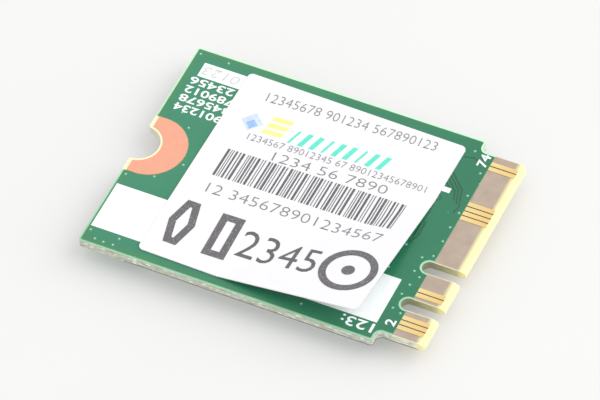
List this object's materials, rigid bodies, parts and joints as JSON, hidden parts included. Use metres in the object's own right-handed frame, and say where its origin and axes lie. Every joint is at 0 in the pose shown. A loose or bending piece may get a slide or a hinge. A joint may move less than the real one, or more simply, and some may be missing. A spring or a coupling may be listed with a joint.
{
  "type": "laptop wifi card",
  "caption": "Small wireless card for a laptop: a bare board with edge contacts, two key slots, a half-round screw notch, a paper label, and a shielded radio on its other side.",
  "frame": {"origin": "under the middle of the board's outline, on the surface that the shield lid lies on", "axes": "+X from the screw notch to the edge contacts, +Y from the low-numbered contacts to the high ones, +Z out of the labelled face"},
  "size_m": [0.03, 0.022, 0.0042],
  "materials": {
    "laminate": "bare glass-fibre laminate, pale beige, rough at the cut edge",
    "green_mask": "thin green solder mask, satin gloss",
    "bare_copper": "bare copper, salmon pink, matt",
    "contact_gold": "hard gold on nickel, bright",
    "white_ink": "white legend ink",
    "label_paper": "coated white label paper",
    "tinned_track": "tinned copper",
    "shield_metal": "nickel silver sheet, satin",
    "package_resin": "moulded black package",
    "lead_tin": "tin-plated leads and end caps",
    "capacitor_ceramic": "fired tan ceramic",
    "filter_ceramic": "fired off-white ceramic",
    "crystal_ceramic": "dark ceramic base",
    "crystal_cap": "gold-flashed metal lid",
    "coil_ferrite": "dark grey ferrite",
    "resistor_film": "black glazed film on ceramic",
    "matching_ceramic": "blue-grey coated ceramic",
    "connector_gold": "thin gold plating",
    "connector_resin": "off-white moulded resin"
  },
  "bodies": {
    "root": {"circuit_board": "laminate", "solder_mask_label_side": "green_mask", "solder_mask_shield_side": "green_mask", "ground_pad_label_side": "bare_copper", "ground_pad_shield_side": "bare_copper", "contact_fingers_label_side": "contact_gold", "contact_fingers_shield_side": "contact_gold", "white_ink_fields": "white_ink", "paper_label": "label_paper", "shield_track": "tinned_track", "shield_frame": "shield_metal", "shield_lid": "shield_metal", "radio_chip": "package_resin", "radio_chip_leads": "lead_tin", "front_end_chip_main": "package_resin", "front_end_chip_second": "package_resin", "front_end_chip_leads": "lead_tin", "memory_chip": "package_resin", "memory_chip_leads": "lead_tin", "voltage_regulator": "package_resin", "diplexer_bodies": "filter_ceramic", "filter_bodies": "filter_ceramic", "filter_terminals": "lead_tin", "crystal_base": "crystal_ceramic", "crystal_lid": "crystal_cap", "power_coil_body": "coil_ferrite", "power_coil_terminals": "lead_tin", "capacitor_bodies": "capacitor_ceramic", "capacitor_terminals": "lead_tin", "matching_coil_bodies": "matching_ceramic", "matching_coil_terminals": "lead_tin", "resistor_bodies": "resistor_film", "resistor_terminals": "lead_tin", "antenna_main_insulator": "connector_resin", "antenna_second_insulator": "connector_resin", "antenna_main_shell": "connector_gold", "antenna_second_shell": "connector_gold", "antenna_main_pin": "connector_gold", "antenna_second_pin": "connector_gold"}
  },
  "joints": []
}
